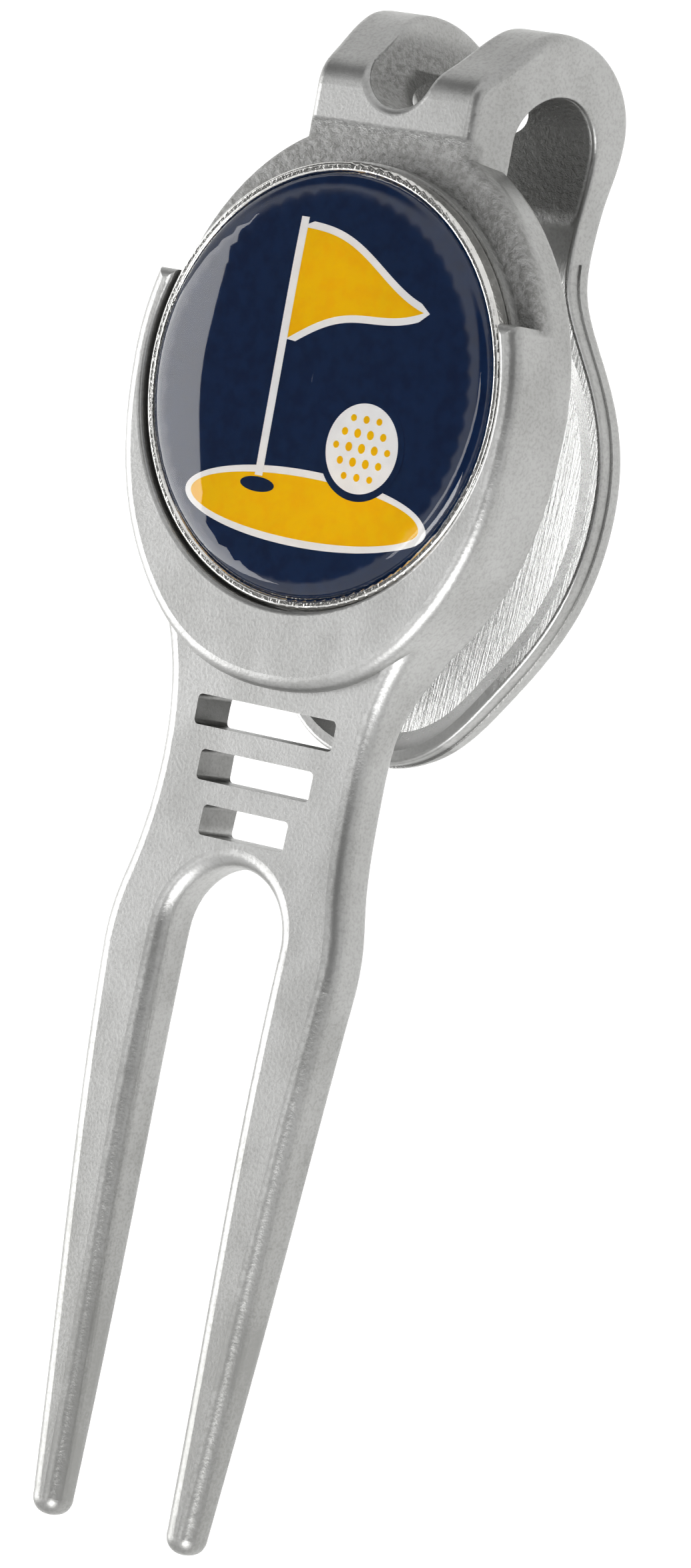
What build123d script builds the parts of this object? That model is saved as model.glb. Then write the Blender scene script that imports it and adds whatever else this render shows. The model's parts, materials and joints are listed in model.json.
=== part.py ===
from build123d import *
from math import atan, degrees, radians, tan
import os

# Golf divot repair tool with a lift-off ball marker. The tool lies on the back of its loop
# with the marker facing up.
# Frame, in millimetres: X runs across the tool, +Y from the fork tips to the loop, and +Z out
# of the marker. X = 0 is the middle plane, Y = 0 the middle of the length, and Z = 0 the back
# of the loop, which is the lowest point.

# ---- overall sizes
overall_length = 88.0
rim_height = 15.3              # top of the marker's metal rim, above the back of the loop

# ---- ball marker: a steel cup, a printed label and a clear dome
marker_diameter = 25.4
marker_edge_thickness = 1.15
cup_rim_width = 0.60
cup_recess_depth = 0.50
cup_rim_round = 0.22
cup_base_round = 0.15
label_thickness = 0.15
label_gap = 0.05               # between the label's edge and the cup's rim
dome_height = 0.75             # crown of the dome above the rim
dome_shoulder_width = 1.3      # where the dome turns down to the rim
dome_shoulder_drop = 0.30
dome_edge_drop = 0.12          # the dome meets the rim this far below its top
marker_side_gap = 0.15         # loose fit in the pocket
marker_seat_gap = 0.05         # under the marker

# ---- head: round the marker, a half-ellipse above it and a fuller curve below
side_lip = 1.13
chin_width = 4.50              # collar below the marker
brow_width = 2.45              # land above the marker
head_jaw = (0.735, 0.715)      # a point of the lower curve, as shares of its two sizes
head_back_depth = 5.20         # back of the head, below the rim plane
head_back_round = 0.60
collar_rise = 0.35             # collar above the rim plane
collar_outer_round = 0.80
collar_inner_round = 0.25
land_depth = 1.95              # cut-down land round the top of the marker
land_round = 0.50
land_start = 5.10              # the collar ends this far above the marker's centre
land_step_round = 0.60

# ---- magnet under the marker
magnet_diameter = 10.0
magnet_thickness = 2.0
magnet_side_gap = 0.10
magnet_top_gap = 0.05
magnet_chamfer = 0.20
glue_thickness = 0.10

# ---- neck and fork
neck_front_depth = 0.50        # neck face, below the rim plane
neck_thickness = 3.0
neck_half_width = 7.40
neck_root_above_chin = 4.80    # the neck runs this far up into the head
neck_root_share = 0.722        # its half width there, as a share of the head's
neck_root_cover = 0.10         # the head's back covers the neck's by this much
neck_waist_below_chin = 4.70
neck_ramp_below_chin = 2.10    # the back of the neck is level with its thickness from here
flare_half_width = 7.95
flare_below_chin = 10.85
flare_rise = 0.40              # how far the neck has swept forward at the flare
hip_half_width = 8.60
hip_below_chin = 16.0
hip_front_rise = 0.80          # and at the hip
hip_back_rise = 0.75
prong_middle_below_hip = 17.0
prong_middle_back_rise = 1.30
arch_top_below_chin = 10.3
prong_gap = 8.2                # between the prongs at the arch
tip_gap = 7.9                  # between the prongs at the tips
tip_width = 2.15
tip_thickness = 2.10
tip_rise = 1.15                # the fork sweeps this far forward of the neck face
fork_front_round = 1.00
fork_back_round = 0.85
tip_round = 1.00

# ---- three slots through the neck, widest at the top
slot_height = 1.75
slot_pitch = 3.05
first_slot_below_chin = 1.90
slot_half_lengths = [5.10, 4.16, 3.15]
slot_corner_round = 0.30

# ---- loop over the top, with a rest notch
strap_half_width = 6.75
front_leg_half_width = 5.80    # the sides draw in towards the front of the loop
front_leg_draw_in = 5.50       # over this depth
loop_above_head = 6.65
loop_crown_thickness = 3.55
loop_crown_start = 1.60        # the outside starts to turn back this far above the head
loop_crown_depth = 8.70        # highest point of the loop, below the rim plane
loop_crown_bend = [(0.44, 0.22), (0.85, 0.585)]  # shares of the bend's length and depth
loop_back_start = 1.45         # the outside turns in to the clip this far above the head
front_leg_below_brow = 3.80    # the front leg runs this far into the head
tunnel_radius = 3.10
tunnel_depth = 9.30            # widest level of the tunnel, below the rim plane
tunnel_lower = 3.20            # from that level down to the back leg
outer_edge_round = 0.60
inner_edge_round = 0.25
notch_edge_round = 0.50
notch_bottom_above_head = 0.80
notch_radius = 2.30
notch_flare = 13.0             # degrees, each side

# ---- clip: the back leg runs down into an oval plate behind the head, dished on its front
clip_slope = 0.07              # the free end leans in to the neck by this much for each mm
clip_thickness = 2.25
clip_half_width = 12.5
clip_below_marker = 4.90       # the plate is widest this far below the marker's centre
clip_front_depth = 10.87       # its front face there, below the rim plane
clip_lower = 15.9              # from the widest level down to the free end
clip_jaw = (0.642, 0.70)       # a point of the lower outline, as shares of its two sizes
clip_shoulders = [(0.79, 8.20), (0.585, 12.20)]  # share of the width, height above the widest
strap_foot = 17.5              # above the widest level the plate has narrowed to the strap
strap_front_start = 15.4       # the S-bend leaves the front of the plate here
strap_back_start = 14.3        # and the back of it here
strap_bend = (3.60, 0.70)      # a point of the back bend: below its start, above the floor
parting_ridge_height = 0.12
parting_ridge_width = 0.36
dish_rim_width = 0.75
dish_wall_width = 1.20
dish_wall_depth = 0.75
dish_upper = 12.9              # from the widest level up to the top of the dish
dish_floor_steps = [(0.90, 0.62), (1.05, 0.25)]  # depth, and size as a share of the wall foot's

cutter_overrun = 1.0           # cutting shapes run this far past what they cut

# ---- worked out from the sizes above
marker_radius = marker_diameter / 2
pocket_radius = marker_radius + marker_side_gap
head_half_width = pocket_radius + side_lip
head_lower = pocket_radius + chin_width
head_upper = pocket_radius + brow_width
top_y = overall_length / 2
tip_y = -overall_length / 2
marker_y = top_y - loop_above_head - head_upper
chin_y = marker_y - head_lower
brow_y = marker_y + head_upper
cup_base_z = rim_height - marker_edge_thickness
pocket_floor_z = cup_base_z - marker_seat_gap
cup_floor_z = rim_height - cup_recess_depth
label_radius = marker_radius - cup_rim_width - label_gap
label_top_z = cup_floor_z + label_thickness
head_back_z = rim_height - head_back_depth
collar_z = rim_height + collar_rise
land_z = rim_height - land_depth
magnet_top_z = pocket_floor_z - magnet_top_gap
magnet_base_z = magnet_top_z - magnet_thickness
glue_base_z = magnet_base_z - glue_thickness
magnet_well_radius = magnet_diameter / 2 + magnet_side_gap
neck_front_z = rim_height - neck_front_depth
neck_back_z = neck_front_z - neck_thickness
neck_root_y = chin_y + neck_root_above_chin
neck_root_z = head_back_z + neck_root_cover
neck_root_half_width = head_half_width * neck_root_share
land_y = marker_y + land_start
waist_y = chin_y - neck_waist_below_chin
ramp_y = chin_y - neck_ramp_below_chin
flare_y = chin_y - flare_below_chin
hip_y = chin_y - hip_below_chin
arch_y = chin_y - arch_top_below_chin - prong_gap / 2
tip_front_z = neck_front_z + tip_rise
tip_back_z = tip_front_z - tip_thickness
tunnel_y = top_y - loop_crown_thickness - tunnel_radius
tunnel_z = rim_height - tunnel_depth
crown_y = brow_y + loop_crown_start
crown_z = rim_height - loop_crown_depth
front_leg_y = brow_y - front_leg_below_brow
loop_back_y = brow_y + loop_back_start
clip_y = marker_y - clip_below_marker
clip_end_y = clip_y - clip_lower
clip_front_z = rim_height - clip_front_depth
clip_tilt = degrees(atan(clip_slope))


def clip_z(y, depth=0.0):
    """Height of the clip's front face at y, or of a surface that is depth behind it."""
    return clip_front_z - (y - clip_y) * clip_slope - depth


def clip_outline(half_width, lower, widest_y):
    """Draw the right half of the plate's lower outline, from the free end up to its widest."""
    jaw = (clip_jaw[0] * half_width, widest_y - clip_jaw[1] * lower)
    end = (0, widest_y - lower)
    return Spline(end, jaw, (half_width, widest_y), tangents=[(1, 0), (0, 1)])


def strap_outline(grow):
    """Draw the plan outline of the loop and clip, grown outward by the given amount."""
    lower_edge = clip_outline(clip_half_width + grow, clip_lower + grow, clip_y)
    shoulders = [
        (share * clip_half_width + grow, clip_y + height) for share, height in clip_shoulders
    ]
    upper_edge = Spline(
        lower_edge @ 1,
        *shoulders,
        (strap_half_width + grow, clip_y + strap_foot),
        tangents=[(0, 1), (0, 1)],
    )
    strap_edge = Line(upper_edge @ 1, (strap_half_width + grow, top_y))
    mirror([lower_edge, upper_edge, strap_edge], about=Plane.YZ)
    Line(strap_edge @ 1, (-strap_half_width - grow, top_y))


# ---- fork: the plan outline, cut to the side profile, with its edges rounded
with BuildPart() as fork:
    with BuildSketch(Plane.XY):
        with BuildLine():
            flare = Spline(
                (neck_root_half_width, neck_root_y),
                (neck_half_width, waist_y),
                (flare_half_width, flare_y),
                (hip_half_width, hip_y),
                tangents=[(-0.75, -1), (-0.05, -1)],
            )
            outside = Line(flare @ 1, (tip_gap / 2 + tip_width, tip_y))
            tip = Line(outside @ 1, (tip_gap / 2, tip_y))
            inside = Line(tip @ 1, (prong_gap / 2, arch_y))
            ThreePointArc(inside @ 1, (0, arch_y + prong_gap / 2), (-prong_gap / 2, arch_y))
            mirror([flare, outside, tip, inside], about=Plane.YZ)
            Line(flare @ 0, (-neck_root_half_width, neck_root_y))
        make_face()
        fillet(vertices().group_by(Axis.Y)[0], tip_round)
    extrude(amount=tip_front_z + cutter_overrun)
    with BuildSketch(Plane.YZ):
        with BuildLine():
            front = Spline(
                (neck_root_y, neck_front_z),
                (waist_y, neck_front_z),
                (flare_y, neck_front_z + flare_rise),
                (hip_y, neck_front_z + hip_front_rise),
                (tip_y, tip_front_z),
                tangents=[(-1, 0), (-1, 0.01)],
            )
            end = Line(front @ 1, (tip_y, tip_back_z))
            back = Spline(
                end @ 1,
                (hip_y - prong_middle_below_hip, neck_back_z + prong_middle_back_rise),
                (hip_y, neck_back_z + hip_back_rise),
                (flare_y, neck_back_z + flare_rise),
                (waist_y, neck_back_z),
                tangents=[(1, -0.06), (1, 0)],
            )
            level = Line(back @ 1, (ramp_y, neck_back_z))
            ramp = Spline(level @ 1, (neck_root_y, neck_root_z), tangents=[(1, 0), (1, 0)])
            Line(ramp @ 1, front @ 0)
        make_face()
    extrude(amount=head_half_width, both=True, mode=Mode.INTERSECT)
    side_faces = fork.faces().filter_by(lambda face: abs(face.normal_at().Z) < 0.1)
    outer_sides = side_faces.filter_by(lambda face: face.center().Y < neck_root_y - 0.3)
    flat_faces = fork.faces().filter_by(lambda face: abs(face.normal_at().Z) > 0.5)
    front_faces = flat_faces.filter_by(lambda face: face.normal_at().Z > 0)
    back_faces = flat_faces.filter_by(lambda face: face.normal_at().Z < 0)
    outline_edges = outer_sides.edges()
    fillet(outline_edges.filter_by(lambda edge: edge in front_faces.edges()), fork_front_round)
    fillet(outline_edges.filter_by(lambda edge: edge in back_faces.edges()), fork_back_round)
    for row, half_length in enumerate(slot_half_lengths):
        slot_y = chin_y - first_slot_below_chin - row * slot_pitch
        with BuildSketch(Plane.XY.offset(head_back_z)):
            with Locations((0, slot_y)):
                RectangleRounded(2 * half_length, slot_height, slot_corner_round)
        extrude(amount=collar_z - head_back_z, mode=Mode.SUBTRACT)

# ---- head: the collar round the marker, cut down to a land round the marker's top
with BuildPart() as head:
    with BuildSketch(Plane.XY.offset(head_back_z)):
        with BuildLine():
            EllipticalCenterArc((0, marker_y), head_half_width, head_upper, 0, arc_size=180)
            jaw = Spline(
                (head_half_width, marker_y),
                (head_jaw[0] * head_half_width, marker_y - head_jaw[1] * head_lower),
                (0, chin_y),
                tangents=[(0, -1), (-1, 0)],
            )
            mirror([jaw], about=Plane.YZ)
        make_face()
    extrude(amount=collar_z - head_back_z)
    fillet(head.faces().sort_by(Axis.Z)[-1].edges(), collar_outer_round)
    fillet(head.faces().sort_by(Axis.Z)[0].edges(), head_back_round)
    with BuildSketch(Plane.XY.offset(pocket_floor_z)):
        with Locations((0, marker_y)):
            Circle(pocket_radius)
    extrude(amount=collar_z - pocket_floor_z, mode=Mode.SUBTRACT)
    fillet(head.edges().filter_by(GeomType.CIRCLE).group_by(Axis.Z)[-1], collar_inner_round)
    with BuildSketch(Plane.YZ):
        with BuildLine():
            step = Polyline(
                (land_y - land_step_round, collar_z + cutter_overrun),
                (land_y - land_step_round, collar_z),
            )
            nose = RadiusArc(step @ 1, (land_y, collar_z - land_step_round), land_step_round)
            Polyline(
                nose @ 1,
                (land_y, land_z),
                (top_y, land_z),
                (top_y, collar_z + cutter_overrun),
                step @ 0,
            )
        make_face()
    extrude(amount=head_half_width + cutter_overrun, both=True, mode=Mode.SUBTRACT)
    land_edges = head.edges().filter_by_position(Axis.Z, land_z, land_z)
    fillet(land_edges.sort_by(Axis.Y)[-1], land_round)
    with BuildSketch(Plane.XY.offset(head_back_z + head_back_round)):
        with Locations((0, marker_y)):
            Circle(pocket_radius)
    extrude(amount=pocket_floor_z - head_back_z - head_back_round)

# ---- loop and clip: the plan outline, cut to the side profile of the bent strap
with BuildPart() as loop:
    with BuildSketch(Plane.XY):
        with BuildLine():
            strap_outline(0)
        make_face()
    extrude(amount=rim_height)
    with BuildSketch(Plane.YZ):
        with BuildLine():
            top_face = Line((front_leg_y, land_z), (crown_y, land_z))
            crown_length = top_y - crown_y
            crown_drop = land_z - crown_z
            crown_points = [
                (crown_y + along * crown_length, land_z - down * crown_drop)
                for along, down in loop_crown_bend
            ]
            crown = Spline(
                top_face @ 1, *crown_points, (top_y, crown_z), tangents=[(1, 0), (0, -1)]
            )
            EllipticalCenterArc(
                (loop_back_y, crown_z), top_y - loop_back_y, crown_z, 270, arc_size=90
            )
            strap_back_y = clip_y + strap_back_start
            strap_back = Spline(
                (loop_back_y, 0),
                (loop_back_y - strap_bend[0], strap_bend[1]),
                (strap_back_y, clip_z(strap_back_y, clip_thickness)),
                tangents=[(-1, 0), (-1, clip_slope)],
            )
            strap_front_y = clip_y + strap_front_start
            plate_end_y = clip_end_y - cutter_overrun
            plate = Polyline(
                strap_back @ 1,
                (plate_end_y, clip_z(plate_end_y, clip_thickness)),
                (plate_end_y, clip_z(plate_end_y)),
                (strap_front_y, clip_z(strap_front_y)),
            )
            tunnel_foot_z = tunnel_z - tunnel_lower
            Spline(plate @ 1, (tunnel_y, tunnel_foot_z), tangents=[(1, -clip_slope), (1, 0)])
            EllipticalCenterArc(
                (tunnel_y, tunnel_z), tunnel_radius, tunnel_lower, 270, arc_size=90
            )
            EllipticalCenterArc(
                (tunnel_y, tunnel_z), tunnel_radius, head_back_z - tunnel_z, 0, arc_size=90
            )
            Polyline((tunnel_y, head_back_z), (front_leg_y, head_back_z), top_face @ 0)
        make_face()
    extrude(amount=clip_half_width + cutter_overrun, both=True, mode=Mode.INTERSECT)
    with BuildSketch(Plane.XZ.offset(-top_y)):
        with BuildLine():
            draw_in_z = land_z - front_leg_draw_in
            base = Polyline(
                (clip_half_width + cutter_overrun, 0),
                (clip_half_width + cutter_overrun, draw_in_z),
                (strap_half_width, draw_in_z),
            )
            draw_in = Spline(
                base @ 1, (front_leg_half_width, land_z), tangents=[(0, 1), (-0.3, 1)]
            )
            mirror([base, draw_in], about=Plane.YZ)
            Line(draw_in @ 1, (-front_leg_half_width, land_z))
            Line(base @ 0, (-clip_half_width - cutter_overrun, 0))
        make_face()
    extrude(amount=top_y, mode=Mode.INTERSECT)
    side_faces = loop.faces().filter_by(lambda face: abs(face.normal_at().X) > 0.1)
    other_faces = loop.faces().filter_by(lambda face: abs(face.normal_at().X) < 0.1)
    open_faces = other_faces.filter_by(lambda face: face.normal_at().Y > -0.9)
    tunnel_centre = Vector(0, tunnel_y, tunnel_z)
    inner_faces = open_faces.filter_by(
        lambda face: face.normal_at().dot(tunnel_centre - face.center()) > 0
    )
    outer_faces = open_faces.filter_by(
        lambda face: face.normal_at().dot(tunnel_centre - face.center()) < 0
    )
    edge_loops = side_faces.edges()
    fillet(edge_loops.filter_by(lambda edge: edge in outer_faces.edges()), outer_edge_round)
    fillet(edge_loops.filter_by(lambda edge: edge in inner_faces.edges()), inner_edge_round)
    notch_bottom_y = brow_y + notch_bottom_above_head
    outside_reach = tunnel_radius + loop_crown_thickness / 2
    notch_length = top_y - notch_bottom_y
    with BuildSketch(Plane.XY.offset(-cutter_overrun)):
        with BuildLine():
            notch_arc = CenterArc(
                (0, notch_bottom_y + notch_radius),
                notch_radius,
                180 + notch_flare,
                180 - 2 * notch_flare,
            )
            notch_side = PolarLine(notch_arc @ 1, notch_length, 90 - notch_flare)
            mirror([notch_side], about=Plane.YZ)
            Line(notch_side @ 1, (-(notch_side @ 1).X, (notch_side @ 1).Y))
        make_face()
    extrude(amount=rim_height + cutter_overrun, mode=Mode.SUBTRACT)
    curved_edges = loop.edges().filter_by(GeomType.LINE, reverse=True)
    middle_edges = curved_edges.filter_by(lambda edge: abs(edge.center().X) < strap_half_width / 2)
    notch_edges = middle_edges.filter_by(
        lambda edge: abs(edge.center().Y - notch_bottom_y) < notch_length
        and (edge.center() - tunnel_centre).dot(edge.center() - tunnel_centre) > outside_reach**2
    )
    fillet(notch_edges, notch_edge_round)

# ---- dish: a sloping wall inside the rim of the plate, then a shallow hollow floor
clip_plane = Plane((0, clip_y, clip_front_z)).rotated((-clip_tilt, 0, 0))
wall_foot_inset = dish_rim_width + dish_wall_width
foot_half_width = clip_half_width - wall_foot_inset
foot_lower = clip_lower - wall_foot_inset
foot_upper = dish_upper - dish_wall_width
dish_sections = [
    (0, clip_half_width - dish_rim_width, clip_lower - dish_rim_width, dish_upper),
    (dish_wall_depth, foot_half_width, foot_lower, foot_upper),
]
with BuildPart() as dish:
    for depth, half_width, lower, upper in dish_sections:
        with BuildSketch(clip_plane.offset(-depth)):
            with BuildLine():
                jaw_line = clip_outline(half_width, lower, 0)
                mirror([jaw_line], about=Plane.YZ)
                EllipticalCenterArc((0, 0), half_width, upper, 0, arc_size=180)
            make_face()
    loft(ruled=True)

with BuildPart() as dish_floor:
    for depth, share in [(dish_wall_depth, 1)] + dish_floor_steps:
        with BuildSketch(clip_plane.offset(-depth)):
            with BuildLine():
                foot_line = clip_outline(share * foot_half_width, share * foot_lower, 0)
                mirror([foot_line], about=Plane.YZ)
                EllipticalCenterArc(
                    (0, 0), share * foot_half_width, share * foot_upper, 0, arc_size=180
                )
            make_face()
    loft()

# ---- parting ridge: a thin slab round the edge of the plate, at the middle of its thickness
with BuildPart() as parting_ridge:
    with BuildSketch(Plane.XY):
        with BuildLine():
            strap_outline(parting_ridge_height)
        make_face()
    extrude(amount=rim_height)
    ridge_end_y = clip_end_y - cutter_overrun
    ridge_top = (clip_thickness - parting_ridge_width) / 2
    ridge_base = (clip_thickness + parting_ridge_width) / 2
    with BuildSketch(Plane.YZ):
        Polygon(
            (ridge_end_y, clip_z(ridge_end_y, ridge_top)),
            (ridge_end_y, clip_z(ridge_end_y, ridge_base)),
            (strap_back_y, clip_z(strap_back_y, ridge_base)),
            (strap_back_y, clip_z(strap_back_y, ridge_top)),
            align=None,
        )
    extrude(amount=clip_half_width + cutter_overrun, both=True, mode=Mode.INTERSECT)

# ---- tool body: one casting of fork, head, loop and clip
with BuildPart() as tool_body:
    add(head.part)
    add(fork.part)
    add(loop.part)
    add(parting_ridge.part)
    add(dish.part, mode=Mode.SUBTRACT)
    add(dish_floor.part, mode=Mode.SUBTRACT)
    with BuildSketch(Plane.XY.offset(pocket_floor_z)):
        with Locations((0, marker_y)):
            Circle(pocket_radius)
    extrude(amount=collar_z - pocket_floor_z, mode=Mode.SUBTRACT)
    with BuildSketch(Plane.XY.offset(glue_base_z)):
        with Locations((0, marker_y)):
            Circle(magnet_well_radius)
    extrude(amount=pocket_floor_z - glue_base_z, mode=Mode.SUBTRACT)

# ---- magnet, glued into the well under the marker
with BuildPart() as magnet:
    with BuildSketch(Plane.XY.offset(magnet_base_z)):
        with Locations((0, marker_y)):
            Circle(magnet_diameter / 2)
    extrude(amount=magnet_thickness)
    chamfer(magnet.edges().filter_by(GeomType.CIRCLE), magnet_chamfer)

with BuildPart() as magnet_glue:
    with BuildSketch(Plane.XY.offset(glue_base_z)):
        with Locations((0, marker_y)):
            Circle(magnet_diameter / 2 - magnet_chamfer)
    extrude(amount=glue_thickness)

# ---- marker: a pressed steel cup holding the label and the clear dome
with BuildPart() as marker_cup:
    with BuildSketch(Plane.XY.offset(cup_base_z)):
        with Locations((0, marker_y)):
            Circle(marker_radius)
    extrude(amount=marker_edge_thickness)
    with BuildSketch(Plane.XY.offset(cup_floor_z)):
        with Locations((0, marker_y)):
            Circle(marker_radius - cup_rim_width)
    extrude(amount=cup_recess_depth, mode=Mode.SUBTRACT)
    cup_circles = marker_cup.edges().filter_by(GeomType.CIRCLE)
    fillet(cup_circles.group_by(Axis.Z)[-1], cup_rim_round)
    fillet(cup_circles.group_by(Axis.Z)[0], cup_base_round)

with BuildPart() as marker_label:
    with BuildSketch(Plane.XY.offset(cup_floor_z)):
        with Locations((0, marker_y)):
            Circle(label_radius)
    extrude(amount=label_thickness)

with BuildPart() as marker_dome:
    with BuildSketch(Plane.YZ):
        with BuildLine():
            crown_z_of_dome = rim_height + dome_height
            side = Polyline(
                (marker_y, crown_z_of_dome),
                (marker_y, label_top_z),
                (marker_y + label_radius, label_top_z),
                (marker_y + label_radius, rim_height - dome_edge_drop),
            )
            shoulder_y = marker_y + label_radius - dome_shoulder_width
            Spline(
                side @ 1,
                (shoulder_y, crown_z_of_dome - dome_shoulder_drop),
                side @ 0,
                tangents=[(-0.35, 1), (-1, 0)],
            )
        make_face()
    revolve(axis=Axis((0, marker_y, 0), (0, 0, 1)))

os.makedirs("parts", exist_ok=True)
tool_body.part.label = "tool_body"
export_step(tool_body.part, "parts/tool_body.step")
magnet.part.label = "magnet"
export_step(magnet.part, "parts/magnet.step")
magnet_glue.part.label = "magnet_glue"
export_step(magnet_glue.part, "parts/magnet_glue.step")
marker_cup.part.label = "marker_cup"
export_step(marker_cup.part, "parts/marker_cup.step")
marker_label.part.label = "marker_label"
export_step(marker_label.part, "parts/marker_label.step")
marker_dome.part.label = "marker_dome"
export_step(marker_dome.part, "parts/marker_dome.step")
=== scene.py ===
"""Golf divot repair tool: finishes, printed label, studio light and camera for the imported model.

+Y runs from the fork tips to the loop and +Z out of the front of the ball marker. Every length is
in metres unless its name ends in _mm or its class says that it counts in millimetres.
"""
import json
import logging
import math
from dataclasses import dataclass, field
from enum import Enum

import bmesh
import bpy
from mathutils import Matrix, Vector

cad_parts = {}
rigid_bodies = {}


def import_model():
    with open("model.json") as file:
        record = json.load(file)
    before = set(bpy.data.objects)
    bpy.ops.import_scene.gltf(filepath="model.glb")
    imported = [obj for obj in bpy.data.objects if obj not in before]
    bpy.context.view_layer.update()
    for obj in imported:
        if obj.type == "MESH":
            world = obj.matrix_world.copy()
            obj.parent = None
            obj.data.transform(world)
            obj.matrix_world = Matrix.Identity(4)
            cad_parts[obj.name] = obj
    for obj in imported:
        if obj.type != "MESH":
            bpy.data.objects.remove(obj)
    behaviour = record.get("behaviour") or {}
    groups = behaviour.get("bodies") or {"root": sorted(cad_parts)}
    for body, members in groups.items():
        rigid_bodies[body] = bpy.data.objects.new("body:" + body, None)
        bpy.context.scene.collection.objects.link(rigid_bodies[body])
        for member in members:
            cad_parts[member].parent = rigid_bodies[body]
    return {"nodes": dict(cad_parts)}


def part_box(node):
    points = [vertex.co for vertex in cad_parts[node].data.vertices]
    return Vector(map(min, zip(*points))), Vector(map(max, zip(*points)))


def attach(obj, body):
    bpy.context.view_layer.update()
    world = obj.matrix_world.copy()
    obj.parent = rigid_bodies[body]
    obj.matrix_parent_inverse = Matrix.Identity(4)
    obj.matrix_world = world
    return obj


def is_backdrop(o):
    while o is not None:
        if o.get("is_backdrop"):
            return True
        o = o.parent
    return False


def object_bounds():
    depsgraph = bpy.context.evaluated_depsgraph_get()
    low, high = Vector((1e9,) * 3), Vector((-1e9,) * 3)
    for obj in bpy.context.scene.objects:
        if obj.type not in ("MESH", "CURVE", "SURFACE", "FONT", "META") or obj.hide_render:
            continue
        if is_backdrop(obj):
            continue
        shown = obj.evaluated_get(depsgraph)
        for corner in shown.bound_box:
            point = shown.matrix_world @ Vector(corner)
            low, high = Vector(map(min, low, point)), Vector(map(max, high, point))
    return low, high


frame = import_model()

LOG = logging.getLogger("divot_tool")
MM = 0.001
FLOOR_DROP = 0.10  # far enough below the tool for its shadow to fall outside the picture
QUAD_CORNERS = 4
RELIEF = {"Strength": 1.0, "Distance": MM}  # lets a Bump node take its height in millimetres

Outline = list[tuple[float, float]]


class Slot(Enum):
    """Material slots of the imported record."""

    BODY = "satin_nickel"
    MAGNET = "magnet_nickel"
    GLUE = "glue"
    CUP = "bright_nickel"
    LABEL = "printed_label"
    DOME = "clear_epoxy"


def srgb(code: str) -> tuple[float, float, float, float]:
    """Turn an sRGB hex colour into linear RGBA.

    Args:
        code: Colour such as "#1d2c44".

    Returns:
        Red, green, blue and an alpha of 1, linear.
    """
    parts = [int(code[i : i + 2], 16) / 255 for i in (1, 3, 5)]
    linear = [c / 12.92 if c <= 0.04045 else ((c + 0.055) / 1.055) ** 2.4 for c in parts]
    return (linear[0], linear[1], linear[2], 1.0)


def add_node(
    tree: bpy.types.NodeTree, kind: str, inputs: dict | None = None, **settings
) -> bpy.types.Node:
    """Add a shader node with its settings, socket values and links.

    Args:
        tree: Node tree of the material.
        kind: Blender's node type.
        inputs: Socket name or number to a value, or to the output socket that feeds it.
        settings: Properties of the node itself.

    Returns:
        The new node.
    """
    node = tree.nodes.new(kind)
    for name, value in settings.items():
        setattr(node, name, value)
    for key, value in (inputs or {}).items():
        if isinstance(value, bpy.types.NodeSocket):
            tree.links.new(value, node.inputs[key])
        else:
            node.inputs[key].default_value = value
    return node


@dataclass(frozen=True)
class Step:
    """A smooth step: its level is before up to low, and after from high on.

    The two limits are counted in the unit.
    """

    low: float
    high: float
    before: float = 0.0
    after: float = 1.0
    unit: float = 1.0


def overlap(
    tree: bpy.types.NodeTree, *masks: bpy.types.NodeSocket | float
) -> bpy.types.NodeSocket:
    """Multiply masks, so that the result shows only where all of them do.

    Args:
        tree: Node tree of the material.
        masks: A socket, then sockets or numbers that weaken it.

    Returns:
        The result's socket.
    """
    result = masks[0]
    for each in masks[1:]:
        inputs = {0: result, 1: each}
        result = add_node(tree, "ShaderNodeMath", inputs, operation="MULTIPLY").outputs[0]
    return result


def union(tree: bpy.types.NodeTree, *masks: bpy.types.NodeSocket) -> bpy.types.NodeSocket:
    """Join masks, so that the result is the strongest of them at each place.

    Args:
        tree: Node tree of the material.
        masks: The sockets.

    Returns:
        The result's socket.
    """
    result = masks[0]
    for each in masks[1:]:
        inputs = {0: result, 1: each}
        result = add_node(tree, "ShaderNodeMath", inputs, operation="MAXIMUM").outputs[0]
    return result


def layers(
    tree: bpy.types.NodeTree,
    base: bpy.types.NodeSocket | float,
    *parts: tuple[bpy.types.NodeSocket, float],
) -> bpy.types.NodeSocket:
    """Add patterns to a base, each with its own strength.

    Args:
        tree: Node tree of the material.
        base: What they are added to.
        parts: Each pattern and its strength.

    Returns:
        The result's socket.
    """
    result = base
    for pattern, strength in parts:
        inputs = {0: pattern, 1: strength, 2: result}
        result = add_node(tree, "ShaderNodeMath", inputs, operation="MULTIPLY_ADD").outputs[0]
    return result


def within(
    tree: bpy.types.NodeTree, *limits: tuple[bpy.types.NodeSocket, Step]
) -> bpy.types.NodeSocket:
    """Mask an area by values that each follow a smooth step.

    Args:
        tree: Node tree of the material.
        limits: Each value and its step.

    Returns:
        Socket with the product of the steps' levels.
    """
    levels = []
    for value, step in limits:
        inputs = {
            "Value": value,
            "From Min": step.low * step.unit,
            "From Max": step.high * step.unit,
            "To Min": step.before,
            "To Max": step.after,
        }
        level = add_node(tree, "ShaderNodeMapRange", inputs, interpolation_type="SMOOTHSTEP")
        levels.append(level.outputs[0])
    return overlap(tree, *levels)


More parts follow.
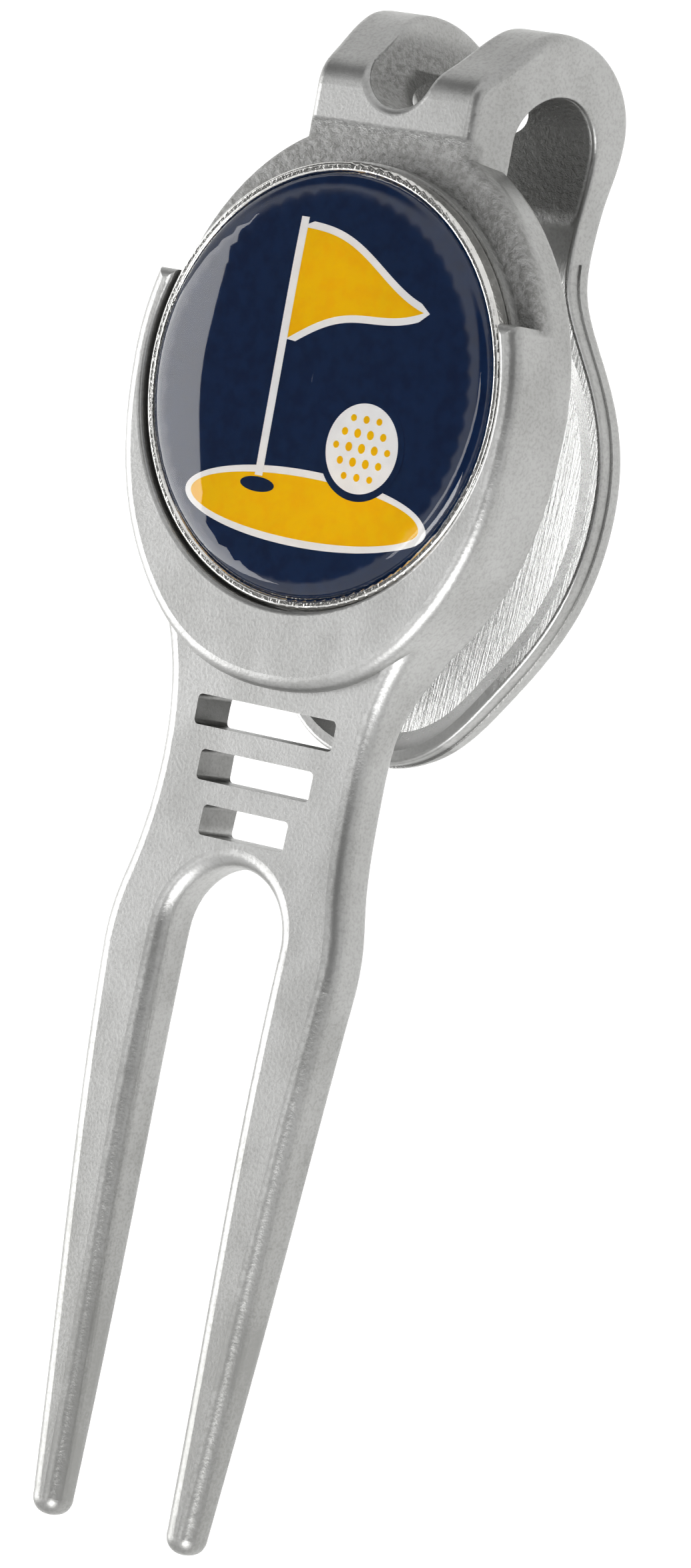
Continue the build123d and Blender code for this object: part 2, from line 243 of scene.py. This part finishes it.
@dataclass(frozen=True)
class Grain:
    """A noise pattern with grains of a real size, in millimetres along X, Y and Z."""

    size_mm: tuple[float, float, float]
    detail: float = 2.0
    roughness: float = 0.5

    def pattern(self, tree: bpy.types.NodeTree) -> bpy.types.NodeSocket:
        """Add the pattern to a material.

        Args:
            tree: Node tree of the material.

        Returns:
            Socket with values round 0.5.
        """
        stretch = {
            "Vector": add_node(tree, "ShaderNodeTexCoord").outputs["Object"],
            "Scale": tuple(1 / (size * MM) for size in self.size_mm),
        }
        inputs = {
            "Vector": add_node(tree, "ShaderNodeMapping", stretch).outputs[0],
            "Scale": 1.0,
            "Detail": self.detail,
            "Roughness": self.roughness,
        }
        return add_node(tree, "ShaderNodeTexNoise", inputs).outputs["Fac"]


@dataclass(frozen=True)
class Finish:
    """Base of every finish: a named material with one Principled shader."""

    name: str

    def surface(self, tree: bpy.types.NodeTree) -> dict:
        """Give the shader's inputs; each finish has its own."""
        raise NotImplementedError

    def build(self) -> bpy.types.Material:
        """Make the material.

        Returns:
            The finished material.
        """
        material = bpy.data.materials.new(self.name)
        material.use_nodes = True
        tree = material.node_tree
        tree.nodes.clear()
        shader = add_node(tree, "ShaderNodeBsdfPrincipled", self.surface(tree))
        add_node(tree, "ShaderNodeOutputMaterial", {"Surface": shader.outputs["BSDF"]})
        return material


@dataclass(frozen=True)
class SatinNickel(Finish):
    """Satin nickel plate on a tumbled zinc die casting.

    The tumbled skin under the plate spreads each highlight, so the eye sees pale grey metal with
    soft bands of light and a fine grain. The land above the marker, the tunnel and the notch are
    left as cast, and their coarse skin breaks the light up. The dish is buffed and finely
    scratched, and its colour is lightened there as a painted reflection. The prong walls carry
    lengthwise marks of the trimming die, and the prongs are darker towards their tips: painted
    shade. Deep in the tunnel and the slots the colour is darkened: painted shade.
    """

    marker_centre: Vector = field(default_factory=Vector)
    rim_z: float = 0.0

    colour: str = "#a8a8a7"
    # the dull plate and the painted shade at the prong tips both mix towards this colour
    dull_and_shade_colour: str = "#8a8a88"
    # painted shade: the tunnel and, more weakly, the slots are darkened towards this colour
    painted_shade_colour: str = "#585856"
    # painted reflection: the dish is lightened towards this colour
    painted_reflection_colour: str = "#d2d2d1"
    painted_shade_share: float = 0.85
    slot_shade_share: float = 0.55

    # roughness of the plate, and what the grain, the buffing and the cast skin add to it
    roughness: float = 0.32
    tumbled_roughness: float = 0.16
    buffed_roughness: float = -0.14
    cast_roughness: float = 0.16

    # patterns, drawn coarser than the real ones so that they show, and their heights
    tumbled: Grain = Grain((0.20, 0.20, 0.20), 3.0, 0.6)
    clouds: Grain = Grain((3.5, 5.0, 3.5), 3.0)
    cast_skin: Grain = Grain((0.44, 0.38, 0.42), 5.0, 0.68)
    trim_marks: Grain = Grain((0.14, 5.0, 0.14), 2.0)
    scratches: Grain = Grain((0.10, 4.0, 0.4), 3.0, 0.6)
    tumbled_mm: float = 0.011
    cast_mm: float = 0.34
    trim_mm: float = 0.018
    scratch_mm: float = 0.016
    bowl: float = 0.013  # rise of the dish in millimetres, 1 mm to the side of its middle

    # how dull each pattern makes the plate; painted shade on the prongs by height above the marker
    clouds_dull: Step = Step(0.38, 0.66, 0.0, 0.35)
    tumbled_dull: Step = Step(0.42, 0.68, 0.0, 0.38)
    cast_dull: Step = Step(0.40, 0.62, 0.2, 1.0)
    prong_tip_shade: Step = Step(-62.0, -26.0, 0.75, 0.0, MM)

    # walls, by how far the surface faces forward or back
    walls: Step = Step(0.35, 0.75, 1.0, 0.0)

    # land: height over its own level, then height above the marker's centre
    land_drop_mm: float = 1.95
    land_front: Step = Step(0.08, 0.8, 1.0, 0.25, MM)
    land_back: Step = Step(-1.4, -0.5, unit=MM)
    land_start: Step = Step(4.6, 5.1, unit=MM)
    land_end: Step = Step(14.4, 15.1, 1.0, 0.0, MM)

    # tunnel: its axis, then distance from the axis, from the middle plane and along the tool
    tunnel_above_mm: float = 15.3
    tunnel_drop_mm: float = 9.3
    tunnel_wall: Step = Step(4.0, 4.9, 1.0, 0.0, MM)
    tunnel_ends: Step = Step(6.15, 6.5, 1.0, 0.0, MM)
    tunnel_outside: Step = Step(3.3, 3.45, 1.0, 0.0, MM)

    # notch: distance from the middle plane, height above the marker's centre, and walls only
    notch_sides: Step = Step(2.6, 3.1, 1.0, 0.0, MM)
    notch_start: Step = Step(15.9, 16.1, unit=MM)
    notch_walls: Step = Step(0.5, 0.9)

    # prongs and slots: height above the marker's centre, and distance from the middle plane
    prongs_end: Step = Step(-28.0, -24.0, 1.0, 0.0, MM)
    slots_start: Step = Step(-26.0, -25.5, unit=MM)
    slots_end: Step = Step(-17.9, -17.4, 1.0, 0.0, MM)
    slots_sides: Step = Step(5.3, 5.5, 1.0, 0.0, MM)

    # dish: level, height above the marker's centre, and facing forward
    dish_level: Step = Step(4.9, 5.6, 1.0, 0.0, MM)
    dish_end: Step = Step(8.0, 10.0, 1.0, 0.0, MM)
    dish_facing: Step = Step(0.55, 0.9)

    def surface(self, tree: bpy.types.NodeTree) -> dict:
        """Plate the casting, with its as-cast, buffed, trimmed and handled areas.

        Args:
            tree: Node tree of the material.

        Returns:
            The shader's inputs by name.
        """
        place = add_node(tree, "ShaderNodeTexCoord").outputs
        x, y, z = add_node(tree, "ShaderNodeSeparateXYZ", {0: place["Object"]}).outputs
        facing = add_node(tree, "ShaderNodeSeparateXYZ", {0: place["Normal"]}).outputs[2]
        across, level = (
            add_node(tree, "ShaderNodeMath", {0: value}, operation="ABSOLUTE").outputs[0]
            for value in (x, facing)
        )
        above, over_land, past_axis, over_axis = (
            add_node(tree, "ShaderNodeMath", {0: value, 1: start}, operation="SUBTRACT").outputs[0]
            for value, start in (
                (y, self.marker_centre.y),
                (z, self.rim_z - self.land_drop_mm * MM),
                (y, self.marker_centre.y + self.tunnel_above_mm * MM),
                (z, self.rim_z - self.tunnel_drop_mm * MM),
            )
        )
        spoke = add_node(tree, "ShaderNodeCombineXYZ", {0: past_axis, 1: over_axis}).outputs[0]
        reach = add_node(tree, "ShaderNodeVectorMath", {0: spoke}, operation="LENGTH")

        walls = within(tree, (level, self.walls))
        land = within(
            tree,
            (over_land, self.land_front),
            (over_land, self.land_back),
            (above, self.land_start),
            (above, self.land_end),
        )
        tunnel = within(
            tree,
            (reach.outputs["Value"], self.tunnel_wall),
            (across, self.tunnel_ends),
            (past_axis, self.tunnel_outside),
        )
        notch = within(
            tree, (across, self.notch_sides), (above, self.notch_start), (walls, self.notch_walls)
        )
        cast = union(tree, land, tunnel, notch)
        prongs = overlap(tree, within(tree, (above, self.prongs_end)), walls)
        rows = within(
            tree, (above, self.slots_start), (above, self.slots_end), (across, self.slots_sides)
        )
        slots = overlap(tree, rows, walls)
        dish = within(
            tree, (z, self.dish_level), (above, self.dish_end), (facing, self.dish_facing)
        )

        tumbled = self.tumbled.pattern(tree)
        skin = self.cast_skin.pattern(tree)
        worn_and_shaded = layers(
            tree,
            within(tree, (self.clouds.pattern(tree), self.clouds_dull)),
            (within(tree, (tumbled, self.tumbled_dull)), 1.0),
            # painted shade: darker towards the prong tips
            (within(tree, (above, self.prong_tip_shade)), 1.0),
        )
        blotches = overlap(tree, cast, within(tree, (skin, self.cast_dull)))
        # painted shade in the tunnel and the slots
        recess_shade = union(tree, tunnel, overlap(tree, slots, self.slot_shade_share))
        colour = srgb(self.colour)
        for share, code in (
            # dull plate, and painted shade at the prong tips
            (union(tree, worn_and_shaded, blotches), self.dull_and_shade_colour),
            # painted shade in the tunnel and the slots
            (overlap(tree, recess_shade, self.painted_shade_share), self.painted_shade_colour),
            # painted reflection in the dish
            (dish, self.painted_reflection_colour),
        ):
            inputs = {"Factor": share, "A": colour, "B": srgb(code)}
            colour = add_node(tree, "ShaderNodeMix", inputs, data_type="RGBA").outputs["Result"]

        relief = layers(
            tree,
            overlap(tree, tumbled, self.tumbled_mm),
            (overlap(tree, skin, cast), self.cast_mm),
            (overlap(tree, self.trim_marks.pattern(tree), prongs), self.trim_mm),
            (overlap(tree, self.scratches.pattern(tree), dish), self.scratch_mm),
        )
        x_mm = add_node(tree, "ShaderNodeMath", {0: x, 1: MM}, operation="DIVIDE").outputs[0]
        bowed = layers(tree, relief, (overlap(tree, x_mm, x_mm), self.bowl))
        flat, hollow = (
            add_node(tree, "ShaderNodeBump", {"Height": height, **RELIEF}).outputs[0]
            for height in (relief, bowed)
        )
        bend = {"Factor": dish, "A": flat, "B": hollow}
        return {
            "Base Color": colour,
            "Metallic": 1.0,
            "Roughness": layers(
                tree,
                self.roughness,
                (tumbled, self.tumbled_roughness),
                (dish, self.buffed_roughness),
                (cast, self.cast_roughness),
            ),
            "Normal": add_node(tree, "ShaderNodeMix", bend, data_type="VECTOR").outputs["Result"],
        }


@dataclass(frozen=True)
class BrightNickel(Finish):
    """Bright nickel plate on pressed steel.

    A hard skin that is nearly a mirror. Fine pitting breaks the highlights on the thin rim into
    sparkle, and fingerprints dull it in patches.
    """

    colour: str = "#dcdbd8"
    smeared_colour: str = "#b9b8b5"
    roughness: float = 0.05
    smear_roughness: float = 0.14
    pits: Grain = Grain((0.20, 0.20, 0.20), 3.0)
    pits_mm: float = 0.02
    smears: Grain = Grain((2.5, 2.5, 2.5))
    smears_dull: Step = Step(0.4, 0.7, 0.0, 0.5)

    def surface(self, tree: bpy.types.NodeTree) -> dict:
        """Plate the steel, with its pits and fingerprints.

        Args:
            tree: Node tree of the material.

        Returns:
            The shader's inputs by name.
        """
        smears = self.smears.pattern(tree)
        share = within(tree, (smears, self.smears_dull))
        inputs = {"Factor": share, "A": srgb(self.colour), "B": srgb(self.smeared_colour)}
        tint = add_node(tree, "ShaderNodeMix", inputs, data_type="RGBA")
        height = overlap(tree, self.pits.pattern(tree), self.pits_mm)
        return {
            "Base Color": tint.outputs["Result"],
            "Metallic": 1.0,
            "Roughness": layers(tree, self.roughness, (smears, self.smear_roughness)),
            "Normal": add_node(tree, "ShaderNodeBump", {"Height": height, **RELIEF}).outputs[0],
        }


@dataclass(frozen=True)
class Ink(Finish):
    """Screen-printed ink, or another flat coat.

    Flat colour with the slight unevenness of how it was laid down. The epoxy over it wets its
    surface, so it has no gloss of its own.
    """

    colour: str = "#132748"
    second: str = "#102140"
    roughness: float = 0.40
    mottle_roughness: float = 0.1
    gloss: float = 0.0
    mottle: Grain = Grain((0.9, 0.9, 0.9), 3.0)
    mottle_mm: float = 0.002
    mottle_tint: Step = Step(0.35, 0.7)

    def surface(self, tree: bpy.types.NodeTree) -> dict:
        """Lay the ink down.

        Args:
            tree: Node tree of the material.

        Returns:
            The shader's inputs by name.
        """
        mottle = self.mottle.pattern(tree)
        share = within(tree, (mottle, self.mottle_tint))
        inputs = {"Factor": share, "A": srgb(self.colour), "B": srgb(self.second)}
        tint = add_node(tree, "ShaderNodeMix", inputs, data_type="RGBA")
        height = overlap(tree, mottle, self.mottle_mm)
        return {
            "Base Color": tint.outputs["Result"],
            "Specular IOR Level": self.gloss,
            "Roughness": layers(tree, self.roughness, (mottle, self.mottle_roughness)),
            "Normal": add_node(tree, "ShaderNodeBump", {"Height": height, **RELIEF}).outputs[0],
        }


@dataclass(frozen=True)
class ClearEpoxy(Finish):
    """Poured epoxy dome.

    Water clear and glossy, so the eye sees the label through it and a sharp reflection of the
    softbox on its shoulder, with the slight waviness of a poured surface.
    """

    colour: str = "#ffffff"
    roughness: float = 0.02
    ior: float = 1.5
    waves: Grain = Grain((6.0, 6.0, 6.0), 1.0)
    waves_mm: float = 0.0015

    def surface(self, tree: bpy.types.NodeTree) -> dict:
        """Pour the dome.

        Args:
            tree: Node tree of the material.

        Returns:
            The shader's inputs by name.
        """
        height = overlap(tree, self.waves.pattern(tree), self.waves_mm)
        return {
            "Base Color": srgb(self.colour),
            "Transmission Weight": 1.0,
            "Roughness": self.roughness,
            "IOR": self.ior,
            "Normal": add_node(tree, "ShaderNodeBump", {"Height": height, **RELIEF}).outputs[0],
        }


@dataclass(frozen=True)
class LitAcrylic(Finish):
    """Lit white acrylic table: almost white, and bright enough to leave no shadow."""

    colour: str = "#f4f4f3"
    glow: float = 0.10
    roughness: float = 0.9
    gloss: float = 0.1

    def surface(self, tree: bpy.types.NodeTree) -> dict:
        """Light the table; every value is the same all over, so the tree stays empty."""
        return {
            "Base Color": srgb(self.colour),
            "Roughness": self.roughness,
            "Specular IOR Level": self.gloss,
            "Emission Color": srgb(self.colour),
            "Emission Strength": self.glow,
        }


def dress(obj: bpy.types.Object, material: bpy.types.Material) -> None:
    """Put one material on the whole of an object.

    Args:
        obj: A CAD node or a piece.
        material: The finish.
    """
    slots = obj.material_slots
    if not slots:
        obj.data.materials.append(material)
    for each in slots:
        each.material = material


def ellipse(cx: float, cy: float, rx: float, ry: float, count: int = 96) -> Outline:
    """Points round an ellipse.

    Args:
        cx: Centre across.
        cy: Centre up.
        rx: Half width.
        ry: Half height.
        count: Number of points.

    Returns:
        The points in order.
    """
    turn = 2 * math.pi / count
    return [(cx + rx * math.cos(i * turn), cy + ry * math.sin(i * turn)) for i in range(count)]


def link(obj: bpy.types.Object) -> bpy.types.Object:
    """Put an object in the scene and return it."""
    bpy.context.scene.collection.objects.link(obj)
    return obj


@dataclass
class Casting:
    """The die-cast body: head, neck, fork, loop and clip."""

    marker_centre: Vector
    rim_z: float

    def dress(self) -> None:
        """Give the casting its satin plate."""
        body = frame["nodes"]["tool_body"]
        plate = SatinNickel("satin_nickel_on_cast_zinc", self.marker_centre, self.rim_z)
        dress(body, plate.build())
        LOG.info("tool_body: satin nickel on cast zinc")


@dataclass
class MagnetSeat:
    """The disc magnet and the bed of glue under it."""

    plate: BrightNickel = BrightNickel("barrel_plated_nickel", colour="#c9c6bf", roughness=0.17)
    bed: Ink = Ink("cured_epoxy_glue", colour="#d9d2bd", second="#c9c1a8")

    def dress(self) -> None:
        """Give the magnet and its glue their finishes."""
        magnet = frame["nodes"]["magnet"]
        glue = frame["nodes"]["magnet_glue"]
        dress(magnet, self.plate.build())
        dress(glue, self.bed.build())
        LOG.info("magnet and magnet_glue: nickel plate and cured epoxy")


@dataclass
class LabelArt:
    """The printed picture: a flag on a green with a ball, in three inks laid one on another.

    The centre and level of the label are in metres. Every other size is in millimetres, counted
    from that centre.
    """

    centre: Vector
    level: float
    radius: float = 12.03
    ground_points: int = 160
    coat_step: float = 0.012
    coat_share: float = 0.6  # thickness of a coat, as a share of the step from coat to coat
    outline: float = 0.42

    pole_x: float = -3.1
    pole_half: float = 0.28
    pole_low: float = -5.6
    pole_high: float = 8.6
    pole_finial: float = 0.6

    flag_length: float = 9.3
    flag_drop: float = 6.3
    flag_wave: float = 0.55
    flag_half_waves: float = 1.6
    flag_steps: int = 24

    ball: tuple[float, float, float] = (3.9, -3.1, 2.55)
    green: tuple[float, float, float, float] = (0.4, -7.0, 8.3, 1.75)
    hole: tuple[float, float, float, float] = (-3.1, -6.1, 1.25, 0.42)

    dimple: float = 0.25
    dimple_least: float = 0.03
    dimple_pitch: tuple[float, float] = (0.92, 0.82)
    dimple_rows: int = 2  # on each side of the middle one
    dimple_reach: float = 0.80  # share of the ball's radius
    dimple_points: int = 20

    def pennant(self, grow: float) -> Outline:
        """Outline of the waving flag, grown outward.

        Args:
            grow: How far the outline stands outside the gold one.

        Returns:
            The points in order.
        """
        top, low = [], []
        for i in range(self.flag_steps + 1):
            along = i / self.flag_steps
            wave = self.flag_wave * math.sin(along * math.pi * self.flag_half_waves)
            x = self.pole_x + self.pole_half + along * self.flag_length
            half = (1 - along) * self.flag_drop / 2
            top.append((x, self.pole_high - self.flag_drop / 2 + half + wave))
            low.append((x, self.pole_high - self.flag_drop / 2 - half + wave))
        points = top + low[-2::-1]
        if grow == 0:
            return points
        grown = []
        for i, (x, y) in enumerate(points):
            before, after = points[i - 1], points[(i + 1) % len(points)]
            along = Vector((after[0] - before[0], after[1] - before[1])).normalized()
            grown.append((x - grow * along.y, y + grow * along.x))
        return grown

    def sheet(
        self, name: str, shapes: list[Outline], coats: int, ink: bpy.types.Material
    ) -> None:
        """Print closed shapes in one ink, as a piece that rides on the marker.

        Args:
            name: Name of the piece.
            shapes: The outlines.
            coats: Number of this coat, counted from the label up.
            ink: Its finish.
        """
        work = bmesh.new()
        top = self.level + coats * self.coat_step * MM
        for shape in shapes:
            ring = [
                work.verts.new((self.centre.x + px * MM, self.centre.y + py * MM, top))
                for px, py in shape
            ]
            sides = bmesh.ops.extrude_face_region(work, geom=[work.faces.new(ring)])
            lowered = [item for item in sides["geom"] if isinstance(item, bmesh.types.BMVert)]
            drop = self.coat_share * self.coat_step * MM
            bmesh.ops.translate(work, verts=lowered, vec=(0, 0, -drop))
        bmesh.ops.recalc_face_normals(work, faces=work.faces)
        caps = [face for face in work.faces if len(face.verts) > QUAD_CORNERS]
        bmesh.ops.triangulate(work, faces=caps)
        mesh = bpy.data.meshes.new(name)
        work.to_mesh(mesh)
        work.free()
        piece = link(bpy.data.objects.new(name, mesh))
        dress(piece, ink)
        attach(piece, "marker")
        LOG.info("%s: %d shapes", name, len(shapes))

    def dimples(self) -> list[Outline]:
        """Small rounds on the ball, in rows that narrow towards its edge.

        Returns:
            One outline for each dimple.
        """
        bx, by, radius = self.ball
        across, up = self.dimple_pitch
        places = range(-self.dimple_rows, self.dimple_rows + 1)
        rounds = []
        for row in places:
            for column in places:
                x, y = (column + 0.5 * (row % 2)) * across, row * up
                reach = math.hypot(x, y) / radius
                if reach < self.dimple_reach:
                    squeeze = math.sqrt(1 - reach * reach)
                    wide = self.dimple * (0.5 + 0.5 * squeeze)
                    high = self.dimple * squeeze + self.dimple_least
                    rounds.append(ellipse(bx + x, by + y, wide, high, self.dimple_points))
        return rounds

    def build(self) -> None:
        """Print the six coats, from the navy ground up to the dimples."""
        navy = Ink("navy_ink").build()
        white = Ink("white_ink", colour="#ffffff", second="#fafafa").build()
        gold = Ink("gold_yellow_ink", colour="#ffc600", second="#ffbd00").build()
        left, right = self.pole_x - self.pole_half, self.pole_x + self.pole_half
        low, high = self.pole_low, self.pole_high + self.pole_finial
        pole = [(left, low), (right, low), (right, high), (left, high)]
        grow = self.outline
        bx, by, ball = self.ball
        gx, gy, grx, gry = self.green
        ground = ellipse(0, 0, self.radius, self.radius, self.ground_points)
        edging = [ellipse(gx, gy, grx + grow, gry + grow), self.pennant(grow)]
        dark = [ellipse(*self.hole), ellipse(bx, by, ball + grow, ball + grow)]
        prints = (
            ("label_ink_navy", [ground], navy),
            ("label_ink_white", edging, white),
            ("label_ink_gold", [ellipse(*self.green), self.pennant(0)], gold),
            ("label_ink_hole", dark, navy),
            ("label_ink_ball_and_pole", [pole, ellipse(bx, by, ball, ball)], white),
            ("label_ink_dimples", self.dimples(), gold),
        )
        for coat, (name, shapes, ink) in enumerate(prints, 1):
            self.sheet(name, shapes, coat, ink)


@dataclass
class BallMarker:
    """The lift-off marker: pressed cup, printed label and clear dome."""

    centre: Vector
    label_top: float

    def dress(self) -> None:
        """Give the three CAD pieces their finishes."""
        nodes = frame["nodes"]
        dress(nodes["marker_cup"], BrightNickel("bright_nickel_on_pressed_steel").build())
        dress(nodes["marker_label"], Ink("navy_printed_film").build())
        dress(nodes["marker_dome"], ClearEpoxy("poured_clear_epoxy").build())
        LOG.info("marker_cup, marker_label and marker_dome: bright nickel, film and epoxy")

    def build(self) -> None:
        """Print the label's picture."""
        LabelArt(self.centre, self.label_top).build()


@dataclass
class SoftLight:
    """One rectangular softbox that faces the object."""

    name: str
    direction: tuple[float, float, float]
    distance: float
    size: tuple[float, float]
    watts: float

    def build(self, target: Vector) -> None:
        """Hang the light.

        Args:
            target: Point that it faces.
        """
        data = bpy.data.lights.new(self.name, "AREA")
        data.shape = "RECTANGLE"
        data.size, data.size_y = self.size
        data.energy = self.watts
        light = link(bpy.data.objects.new(self.name, data))
        away = Vector(self.direction).normalized()
        light.location = target + away * self.distance
        light.rotation_mode = "QUATERNION"
        light.rotation_quaternion = away.to_track_quat("Z", "Y")


@dataclass(frozen=True)
class RoomShade:
    """A round patch of the room that is darker than the rest.

    The level holds inside the inner angle and fades out to the outer one, both in degrees.
    """

    direction: tuple[float, float, float]
    inner: float
    outer: float
    level: float


@dataclass
class Studio:
    """Pale floor, soft lights and the camera.

    The camera's offset is from the middle of the marker's rim, and its three directions are those
    of its own right, up and back.
    """

    marker_centre: Vector
    rim_z: float
    floor_z: float
    room_level: float = 1.05
    shades: tuple[RoomShade, ...] = (
        RoomShade((-0.62, -0.04, 0.78), 11.0, 17.0, 0.12),
        RoomShade((0.47, 0.04, 0.88), 26.0, 39.0, 0.05),
        RoomShade((-0.62, 0.62, 0.45), 14.0, 27.0, 0.08),
    )
    floor_size: float = 6.0
    camera_offset: tuple[float, float, float] = (0.27625, -0.00242, 0.33913)
    camera_right: tuple[float, float, float] = (0.76553, 0.17888, -0.61804)
    camera_up: tuple[float, float, float] = (-0.16736, 0.98287, 0.07718)
    camera_back: tuple[float, float, float] = (0.62125, 0.04435, 0.78235)
    lens_mm: float = 178.33
    sensor_mm: float = 36.0
    nearest: float = 0.05
    farthest: float = 20.0
    lights: list[SoftLight] = field(
        default_factory=lambda: [
            SoftLight("left_softbox", (-0.91, -0.14, 0.41), 0.7, (0.46, 0.50), 3.0),
            SoftLight("overhead_strip", (-0.10, -0.12, 1.0), 0.7, (0.10, 0.5), 0.6),
            SoftLight("right_low_softbox", (0.45, -0.60, 0.66), 0.7, (0.36, 0.36), 3.6),
        ]
    )

    def build_floor(self) -> None:
        """Lay the floor under the loop."""
        work = bmesh.new()
        half = self.floor_size / 2
        corners = ((-half, -half), (half, -half), (half, half), (-half, half))
        work.faces.new([work.verts.new((x, y, self.floor_z)) for x, y in corners])
        mesh = bpy.data.meshes.new("studio_floor")
        work.to_mesh(mesh)
        work.free()
        floor = link(bpy.data.objects.new("studio_floor", mesh))
        dress(floor, LitAcrylic("lit_white_acrylic").build())
        floor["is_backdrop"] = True
        LOG.info("studio_floor: level %.4f m", self.floor_z)

    def build_world(self) -> None:
        """Fill the room with even light, and the dark patches that metal and dome reflect."""
        world = bpy.data.worlds.new("studio_room")
        world.use_nodes = True
        tree = world.node_tree
        tree.nodes.clear()
        where = add_node(tree, "ShaderNodeTexCoord").outputs["Generated"]
        level = self.room_level
        for shade in self.shades:
            aim = Vector(shade.direction).normalized()
            along = add_node(
                tree, "ShaderNodeVectorMath", {0: where, 1: tuple(aim)}, operation="DOT_PRODUCT"
            ).outputs["Value"]
            level = add_node(
                tree,
                "ShaderNodeMapRange",
                {
                    "Value": along,
                    "From Min": math.cos(math.radians(shade.outer)),
                    "From Max": math.cos(math.radians(shade.inner)),
                    "To Min": level,
                    "To Max": shade.level,
                },
                interpolation_type="SMOOTHSTEP",
            ).outputs[0]
        background = add_node(
            tree, "ShaderNodeBackground", {"Color": (1, 1, 1, 1), "Strength": level}
        )
        add_node(tree, "ShaderNodeOutputWorld", {"Surface": background.outputs[0]})
        bpy.context.scene.world = world

    def build_camera(self) -> None:
        """Set the camera up in front of the marker and to its right."""
        data = bpy.data.cameras.new("studio_camera")
        data.sensor_width = self.sensor_mm
        data.lens = self.lens_mm
        data.clip_start = self.nearest
        data.clip_end = self.farthest
        camera = link(bpy.data.objects.new("studio_camera", data))
        axes = Matrix((self.camera_right, self.camera_up, self.camera_back)).transposed()
        rim = Vector((self.marker_centre.x, self.marker_centre.y, self.rim_z))
        place = Matrix.Translation(rim + Vector(self.camera_offset))
        camera.matrix_world = place @ axes.to_4x4()
        bpy.context.scene.camera = camera

    def build(self) -> None:
        """Build the floor, room, lights and camera, and pick a plain view transform."""
        self.build_floor()
        self.build_world()
        target = Vector((0.0, 0.0, self.rim_z))
        for light in self.lights:
            light.build(target)
        self.build_camera()
        bpy.context.scene.view_settings.view_transform = "Standard"


def main() -> None:
    """Dress the casting, the magnet and the marker, and build the studio."""
    logging.basicConfig(level=logging.INFO, format="%(name)s: %(message)s")
    cad_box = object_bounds()
    cup_low, cup_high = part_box("marker_cup")
    centre = (cup_low + cup_high) / 2
    label_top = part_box("marker_label")[1].z
    Casting(centre, cup_high.z).dress()
    MagnetSeat().dress()
    marker = BallMarker(centre, label_top)
    marker.dress()
    marker.build()
    Studio(centre, cup_high.z, cad_box[0].z - FLOOR_DROP).build()


if __name__ == "__main__":
    main()
